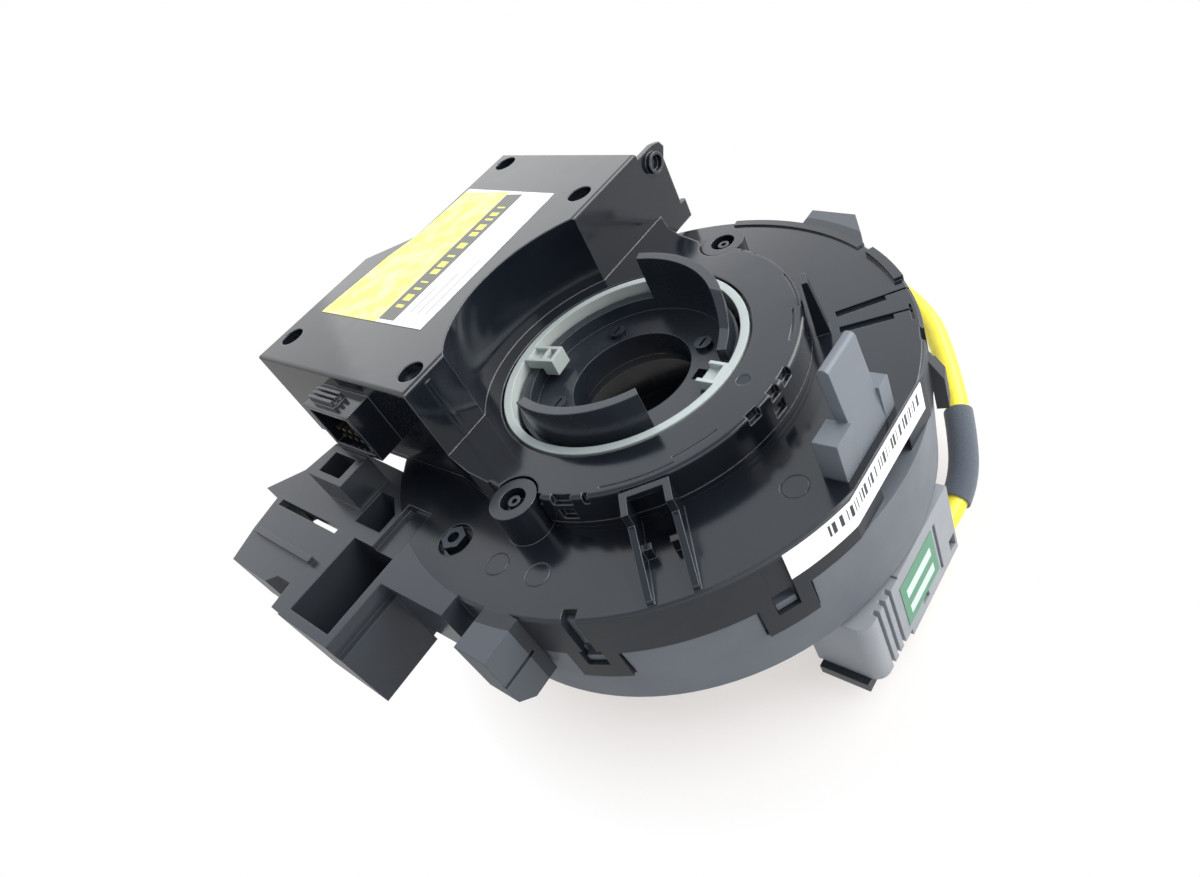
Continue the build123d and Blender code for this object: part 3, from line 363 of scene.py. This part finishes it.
# %% Fine grain recipe
def fine_grained(name, colour, tone, roughness, grain_mm, depth_mm=0.01, detail=3.0, rugged=0.5):
    material, tree, shader = new_material(name)
    grain = blotches(tree, grain_mm, detail, rugged)
    body = add(tree, "Mix", {
        "Factor": grain, "A": hex_colour(colour), "B": hex_colour(tone)}, data_type="RGBA")
    bump = add(tree, "Bump", {"Height": grain, "Strength": 1.0, "Distance": depth_mm * mm})
    set_inputs(tree, shader, {"Base Color": body, "Roughness": roughness, "Normal": bump})
    return material, tree, shader, grain, body


def plated_metal(name, colour, tone, roughness, grain_mm):
    material, tree, shader, grain, body = fine_grained(name, colour, tone, roughness, grain_mm)
    rough = add(tree, "MapRange", {
        "Value": grain, "From Min": 0.2, "From Max": 0.8,
        "To Min": roughness - 0.05, "To Max": roughness + 0.1})
    set_inputs(tree, shader, {"Roughness": rough, "Metallic": 1.0})
    return material, tree, shader, body


print("grain recipes ready,", len(bpy.data.materials), "materials so far")

# %% [markdown]
# ## Screws, terminals and magnets
# Four bright zinc screws hold the sensor box, and one small dark screw sits in front of the ring.
# All five are one piece, so the material tells the dark one by its place along y.

# %% Plated, tinned and sintered metal
box_screws_from_y = 25.0 * mm

# Bright zinc: pale, and soft in its reflections.
zinc_steel, tree, shader, body = plated_metal(
    "zinc_plated_steel", "#e3e7ea", "#c3c9ce", roughness=0.35, grain_mm=0.4)
_, y, _ = place_on_piece(tree)
ring_screw = add(tree, "Math", {0: y, 1: box_screws_from_y}, operation="LESS_THAN")
body = add(tree, "Mix", {
    "Factor": ring_screw, "A": body, "B": hex_colour("#3c4045")}, data_type="RGBA")
set_inputs(tree, shader, {"Base Color": body})
paint(zinc_steel, "cover_screws")

# Black zinc is dark but still metal, tin is a warm grey, and a sintered magnet is dull.
black_zinc, *_ = plated_metal("black_zinc_steel", "#5b6066", "#43474c", 0.35, 0.3)
paint(black_zinc, "hub_screws", "nut_insert")
tinned_brass, *_ = plated_metal("tinned_brass", "#a8a290", "#8f8974", 0.3, 0.3)
paint(tinned_brass, "sensor_pins", "switch_pins")
sintered_magnet, *_ = plated_metal("sintered_magnet", "#5d5f63", "#4b4d51", 0.5, 0.2)
paint(sintered_magnet, "magnet_one", "magnet_two")

# %% [markdown]
# ## Board, chips and films
# These lie inside and are hardly seen, but each has its own finish all the same: a smooth mask on
# the board, dull resin on the chips, and the soft shine of plastic film on the cable and sheet.

# %% Board, chips and films
for piece, name, colour, tone, roughness, grain_mm in (
        ("sensor_board", "solder_mask_green", "#1f5a36", "#1a4d2e", 0.35, 2.0),
        ("hall_chips", "epoxy_chip_black", "#232527", "#1b1c1e", 0.5, 0.3),
        ("ribbon_cable", "polyester_cable_film", "#d6d5cd", "#c9c8c0", 0.35, 3.0),
        ("slip_sheet", "clear_slip_film", "#e4e4e2", "#dadad8", 0.3, 5.0)):
    finish, *_ = fine_grained(name, colour, tone, roughness, grain_mm)
    paint(finish, piece)

# %% [markdown]
# ## Labels
# Three paper labels lie on the part: fields of colour with plain bars. An image texture could
# hold them, but comparing Object coordinates with sizes in millimetres draws them as sharp as the
# camera asks, and nothing slides or blurs. Paper fibres are too fine to show, so they are drawn
# half a millimetre wide.

# %% Paper and plain patterns
fibre_mm = 0.5
fibre_share = 0.06
fibre_grey = hex_colour("#9a9a96")
bar_level = 0.52


def between(tree, value, low_mm, high_mm):
    over = add(tree, "Math", {0: value, 1: low_mm * mm}, operation="GREATER_THAN")
    under = add(tree, "Math", {0: value, 1: high_mm * mm}, operation="LESS_THAN")
    return add(tree, "Math", {0: over, 1: under}, operation="MULTIPLY")


def rectangle(tree, across, up, across_mm, up_mm):
    inside = between(tree, across, *across_mm)
    level = between(tree, up, *up_mm)
    return add(tree, "Math", {0: inside, 1: level}, operation="MULTIPLY")


def bars(tree, along, pitch_mm):
    """Plain bars of uneven width across a direction."""
    step = add(tree, "Math", {0: along, 1: pitch_mm * mm}, operation="DIVIDE")
    pattern = add(tree, "TexNoise", {"W": step, "Scale": 1.0, "Detail": 0.0},
                  noise_dimensions="1D")
    return add(tree, "Math", {0: pattern, 1: bar_level}, operation="GREATER_THAN")


def paper(name, colour):
    """Matt paper with a faint fibre, which keeps a large pale field from looking painted."""
    material, tree, shader = new_material(name)
    fibre = add(tree, "Math", {0: blotches(tree, fibre_mm), 1: fibre_share}, operation="MULTIPLY")
    body = add(tree, "Mix", {
        "Factor": fibre, "A": hex_colour(colour), "B": fibre_grey}, data_type="RGBA")
    set_inputs(tree, shader, {"Roughness": 0.5})
    return material, tree, shader, body, place_on_piece(tree)


print("paper fibres", fibre_mm, "mm")

# %% [markdown]
# ## The label on the sensor box
# Below a yellow field with a soft glare come a dark strip with yellow bars, and a white field
# with three pale lines. Every layer is mixed over the last one.

# %% Sensor label
sensor_paper, tree, shader, body, (x, y, _) = paper("printed_paper_label", "#ffffff")
glare = add(tree, "MapRange", {
    "Value": blotches(tree, 5.0), "From Min": 0.4, "From Max": 0.65, "To Min": 0.1})
yellow = add(tree, "Mix", {
    "Factor": glare, "A": hex_colour("#f9f075"), "B": hex_colour("#fdf8b4")}, data_type="RGBA")
bar_field = rectangle(tree, x, y, (-13.0, 27.0), (48.6, 51.4))
sensor_bars = add(tree, "Math", {0: bars(tree, x, 2.4), 1: bar_field}, operation="MULTIPLY")
sensor_layers = [
    (rectangle(tree, x, y, (-20.0, 32.6), (53.0, 80.0)), yellow),
    (rectangle(tree, x, y, (-16.2, 31.4), (47.0, 53.0)), hex_colour("#75756f")),
    (sensor_bars, hex_colour("#f9f075")),
]
line_pitch_mm, line_width_mm, line_step_mm = 2.8, 0.6, 5.0
for row in range(3):
    low = 38.2 + line_pitch_mm * row
    line = rectangle(tree, x, y, (-13.0, 6.0 - line_step_mm * row), (low, low + line_width_mm))
    sensor_layers.append((line, hex_colour("#c4c4c0")))
for mask, colour in sensor_layers:
    body = add(tree, "Mix", {"Factor": mask, "A": body, "B": colour}, data_type="RGBA")
set_inputs(tree, shader, {"Base Color": body})
paint(sensor_paper, "sensor_label")

# %% [markdown]
# ## The labels on the side and on the tower
# The side label is white with a row of narrow dark bars, and the tower's is green with two pale
# fields. Both stand upright, so z takes the place of y.

# %% Side label and tower label
side_paper, tree, shader, body, (x, _, z) = paper("side_paper_label", "#fdfdfd")
side_field = rectangle(tree, x, z, (-20.5, 11.5), (-4.2, -1.5))
side_bars = add(tree, "Math", {0: bars(tree, x, 0.8), 1: side_field}, operation="MULTIPLY")
body = add(tree, "Mix", {
    "Factor": side_bars, "A": body, "B": hex_colour("#3a3c40")}, data_type="RGBA")
set_inputs(tree, shader, {"Base Color": body})
paint(side_paper, "side_label")

tower_paper, tree, shader, body, (x, _, z) = paper("green_paper_label", "#5d8f74")
for heights_mm in ((-43.6, -41.0), (-38.6, -36.0)):
    mark = rectangle(tree, x, z, (-7.6, 3.2), heights_mm)
    body = add(tree, "Mix", {
        "Factor": mark, "A": body, "B": hex_colour("#c9ddd0")}, data_type="RGBA")
set_inputs(tree, shader, {"Base Color": body})
paint(tower_paper, "tower_label")

# %% [markdown]
# ## The yellow lead
# The inflator lead is two wires in a yellow sleeve. It leaves the tower, swings round the outside
# of the part and ends in its plug. A Bezier curve would need two handles at each point, while a
# NURBS curve takes a few control points and gives the smooth line of a stiff sleeve by itself.
# A round bevel gives it its thickness.

# %% Lead
lead_diameter = 5.2 * mm
lead_route = [
    (-10.2, -50.0, -44.8),
    (1.5, -49.9, -47.0),
    (15.5, -50.9, -50.2),
    (29.5, -51.9, -48.2),
    (43.5, -46.2, -44.6),
    (58.5, -37.6, -41.4),
    (73.0, -27.6, -38.8),
    (83.8, -9.5, -36.4),
    (83.0, 10.5, -35.0),
    (71.7, 26.0, -35.0),
    (54.0, 32.5, -35.4),
    (35.5, 29.5, -35.8),
]


def lead_curve(name, radius):
    data = bpy.data.curves.new(name, "CURVE")
    data.dimensions = "3D"
    data.bevel_depth = radius
    data.bevel_resolution = 6
    data.use_fill_caps = True
    data.resolution_u = 12
    line = data.splines.new("NURBS")
    line.points.add(len(lead_route) - 1)
    for point, place in zip(line.points, lead_route):
        point.co = (*(value * mm for value in place), 1.0)
    line.order_u = 3
    line.use_endpoint_u = True
    piece = bpy.data.objects.new(name, data)
    bpy.context.scene.collection.objects.link(piece)
    return piece


lead = lead_curve("lead_sleeve", lead_diameter / 2)
print("lead of", len(lead_route), "points")

# %% [markdown]
# ## The lead's own line
# The tape below has to follow the curve and not its control points, which lie off it. The same
# curve without thickness, turned into a mesh for a moment, gives the points of its middle line.

# %% Points along the lead
bare = lead_curve("lead_line", 0.0)
line_mesh = bpy.data.meshes.new_from_object(bare)
lead_points = [vertex.co.copy() for vertex in line_mesh.vertices]
bpy.data.objects.remove(bare)
lead_length = sum((b - a).length for a, b in zip(lead_points, lead_points[1:]))
print("lead length", round(lead_length, 4), "m")

# %% [markdown]
# ## Lead finish
# The sleeve and the plug are soft yellow PVC: smooth and half glossy. An even surface would show
# one straight highlight, so slow dents about 5 mm long in the bump break it up.

# %% Yellow PVC
lead_pvc, tree, shader = new_material("yellow_pvc_sleeve")
body = add(tree, "Mix", {
    "Factor": blotches(tree, 9.0, 2.0), "A": hex_colour("#fff04a"), "B": hex_colour("#fbe636")},
    data_type="RGBA")
bump = add(tree, "Bump", {
    "Height": blotches(tree, 5.0), "Strength": 1.0, "Distance": 0.3 * mm})
set_inputs(tree, shader, {"Base Color": body, "Roughness": 0.32, "Normal": bump})
lead.data.materials.append(lead_pvc)
paint(lead_pvc, "lead_plug")

# %% [markdown]
# ## The felt tape on the lead
# A strip of black felt tape is wound on the lead where it would rattle. It could be a second
# NURBS curve, but its ends would then miss the lead's line. A curve of short straight steps
# through the points of that line stays on it, and its round bevel is kept as a mesh.

# %% Felt tape
foam_radius = 3.2 * mm
foam_span = (0.19, 0.315)
foam_steps = 28


def along_lead(share):
    wanted = share * lead_length
    for a, b in zip(lead_points, lead_points[1:]):
        step = (b - a).length
        if wanted <= step:
            return a.lerp(b, wanted / step)
        wanted -= step
    return lead_points[-1].copy()


foam_data = bpy.data.curves.new("foam_line", "CURVE")
foam_data.dimensions = "3D"
foam_data.bevel_depth = foam_radius
foam_data.bevel_resolution = 8
foam_data.use_fill_caps = True
foam_line = foam_data.splines.new("POLY")
foam_line.points.add(foam_steps)
for index, point in enumerate(foam_line.points):
    share = foam_span[0] + (foam_span[1] - foam_span[0]) * index / foam_steps
    point.co = (*along_lead(share), 1.0)
foam_curve = bpy.data.objects.new("foam_line", foam_data)
bpy.context.scene.collection.objects.link(foam_curve)
foam_mesh = bpy.data.meshes.new_from_object(foam_curve)
bpy.data.objects.remove(foam_curve)
foam = bpy.data.objects.new("foam_tape", foam_mesh)
bpy.context.scene.collection.objects.link(foam)
print("foam tape", len(foam_mesh.polygons), "faces")

# %% [markdown]
# ## Felt finish
# Felt is needle-punched fibre. It has no shine, and its nap catches light at the outline, which
# is what Sheen is for. Its fibres are too fine to show, so its tone and bump are mottled in tufts
# half a millimetre wide.

# %% Black felt
foam_felt, tree, shader, _, _ = fine_grained(
    "black_felt_tape", "#434a55", "#59616c", roughness=0.9,
    grain_mm=0.5, depth_mm=0.2, detail=5.0, rugged=0.7)
set_inputs(tree, shader, {"Sheen Weight": 0.3})
foam.data.materials.clear()
foam.data.materials.append(foam_felt)
print(foam_felt.name, "on", foam.name)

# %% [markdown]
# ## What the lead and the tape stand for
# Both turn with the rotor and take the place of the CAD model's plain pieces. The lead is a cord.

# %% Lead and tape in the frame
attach(lead, "rotor")
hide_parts("airbag_lead")
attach(foam, "rotor")
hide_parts("foam_sleeve")
print("foam sleeve on the lead")

# %% [markdown]
# ## Floor
# The part lies on white paper. A floor could be lit until it turns white, but then the part would
# be overlit too. So the paper glows where the camera or a reflection sees it, and it is plain
# paper for every other ray, which keeps the light on the part plain.

# %% Floor
floor_low = cad_box[0][2]
floor_half = 3.0
floor_bm = bmesh.new()
bmesh.ops.create_grid(floor_bm, x_segments=1, y_segments=1, size=floor_half,
                      matrix=Matrix.Translation((0, 0, floor_low - 0.2 * mm)))
floor_mesh = bpy.data.meshes.new("floor")
floor_bm.to_mesh(floor_mesh)
floor_bm.free()
floor = bpy.data.objects.new("floor", floor_mesh)
bpy.context.scene.collection.objects.link(floor)
print("floor at", round(floor_low, 4))

# %% [markdown]
# ## Floor finish
# Far out the camera sees nothing but the glow, at a strength of 1, which is white. Near the part
# it sees six tenths of a glow tinted slightly warm, a painted warm shade, and four tenths of
# paper, so that the soft shadow shows. A reflection sees the glow alone, half as bright on the
# left as on the right, as the photograph's glossy walls show it.

# %% White paper
near_radius, far_radius = 70.0 * mm, 90.0 * mm
# Near the part the glow is tinted warm: a painted warm shade on the paper round the part.
painted_warm_shade, white_glow = (1.0, 0.95, 0.92, 1.0), (1.0, 1.0, 1.0, 1.0)
near_share = 0.6
left_level, left_x, right_x = 0.5, -50.0 * mm, 70.0 * mm

floor_paper, tree, shader = new_material("white_paper_floor")
set_inputs(tree, shader, {"Base Color": hex_colour("#fbfbfb"), "Roughness": 0.9})
place = add(tree, "TexCoord").outputs["Object"]
distance = add(tree, "VectorMath", {0: place}, operation="LENGTH")
away = add(tree, "MapRange", {
    "Value": distance, "From Min": near_radius, "From Max": far_radius})
# The glow turns from the painted warm shade near the part to white far out.
tint = add(tree, "Mix", {"Factor": away, "A": painted_warm_shade, "B": white_glow}, data_type="RGBA")
x, _, _ = place_on_piece(tree)
mirror_level = add(tree, "MapRange", {
    "Value": x, "From Min": left_x, "From Max": right_x, "To Min": left_level})
ray = add(tree, "LightPath").outputs
level = add(tree, "Math", {0: ray["Is Camera Ray"], 1: mirror_level}, operation="MAXIMUM")
glow = add(tree, "Emission", {"Color": tint, "Strength": level})
camera_share = add(tree, "MapRange", {"Value": away, "To Min": near_share})
camera_glow = add(tree, "Math", {0: ray["Is Camera Ray"], 1: camera_share}, operation="MULTIPLY")
glow_share = add(tree, "Math", {0: camera_glow, 1: ray["Is Glossy Ray"]}, operation="MAXIMUM")
surface = add(tree, "MixShader", {0: glow_share, 1: shader, 2: glow})
set_inputs(tree, tree.nodes["Material Output"], {"Surface": surface})
floor.data.materials.append(floor_paper)
print(floor_paper.name, "on", floor.name)

# %% [markdown]
# ## World
# A light tent is the plainest studio: white all round, so that glossy plastic shows soft white
# reflections. The camera sees a plain white. The light that falls on the part is dimmer, at 0.45.
# A reflection sees a wall of 1.0 that fades to 0.7 and turns a little blue towards the top, which
# keeps the flat tops of the black pieces from looking milky.

# %% Light tent
light_level, ceiling_level = 0.45, 0.7
sky_white, sky_blue = (1.0, 1.0, 1.0, 1.0), (0.84, 0.95, 1.08, 1.0)

world = bpy.data.worlds.new("light_tent")
bpy.context.scene.world = world
world.use_nodes = True
tree = world.node_tree
tree.nodes.clear()
ray = add(tree, "LightPath").outputs
direction = add(tree, "TexCoord").outputs["Generated"]
_, _, up = add(tree, "SeparateXYZ", {"Vector": direction}).outputs
ceiling = add(tree, "MapRange", {
    "Value": up, "From Min": 0.4, "From Max": 0.9, "To Min": 1.0, "To Max": ceiling_level})
seen = add(tree, "Math", {
    0: ray["Is Camera Ray"], 1: ray["Is Transmission Ray"]}, operation="MAXIMUM")
plain = add(tree, "MapRange", {"Value": seen, "To Min": light_level, "To Max": 1.0})
not_mirror = add(tree, "Math", {0: 1.0, 1: ray["Is Glossy Ray"]}, operation="SUBTRACT")
plain = add(tree, "Math", {0: plain, 1: not_mirror}, operation="MULTIPLY")
mirrored = add(tree, "Math", {0: ceiling, 1: ray["Is Glossy Ray"]}, operation="MULTIPLY")
strength = add(tree, "Math", {0: plain, 1: mirrored}, operation="ADD")
blueness = add(tree, "MapRange", {"Value": up, "From Min": 0.3, "From Max": 0.8})
tint = add(tree, "Mix", {"Factor": blueness, "A": sky_white, "B": sky_blue}, data_type="RGBA")
sky = add(tree, "Background", {"Color": tint, "Strength": strength})
add(tree, "OutputWorld", {"Surface": sky})
print("world", world.name, "lights at", light_level)

# %% [markdown]
# ## Softboxes
# Four large area lamps stand round the part and face its middle. Small lamps would leave hard
# shadows and pinpoint highlights, while large ones give the broad light of the photograph. The
# side panel is by far the strongest, because the photograph's light comes from the right.

# %% Softboxes
object_middle = Vector((0.0, 0.01, -0.01))
softbox_distance = 0.9


def softbox(name, direction, size, power):
    data = bpy.data.lights.new(name, "AREA")
    data.shape = "RECTANGLE"
    data.size, data.size_y = size
    data.energy = power
    lamp = bpy.data.objects.new(name, data)
    bpy.context.scene.collection.objects.link(lamp)
    towards = Vector(direction)
    place = object_middle + towards.normalized() * softbox_distance
    facing = towards.to_track_quat("Z", "Y").to_matrix().to_4x4()
    lamp.matrix_world = Matrix.Translation(place) @ facing
    print(name, "at", [round(value, 2) for value in place])


# Each has a direction from the part, a width and height in metres, and a power in watts.
softbox("back_panel", (0.25, 0.88, 0.38), (1.3, 0.45), 1.1)
softbox("top_panel", (0.5, 0.5, 0.7), (0.9, 0.9), 1.8)
softbox("front_panel", (-0.35, -0.9, 0.35), (0.7, 0.7), 0.9)
softbox("side_panel", (0.62, -0.55, 0.56), (1.2, 0.7), 13.0)

# %% [markdown]
# ## Finish
# The view transform is Standard, so a colour shows as it was written.

# %% View transform and finish
bpy.context.scene.view_settings.view_transform = "Standard"
bpy.context.view_layer.update()
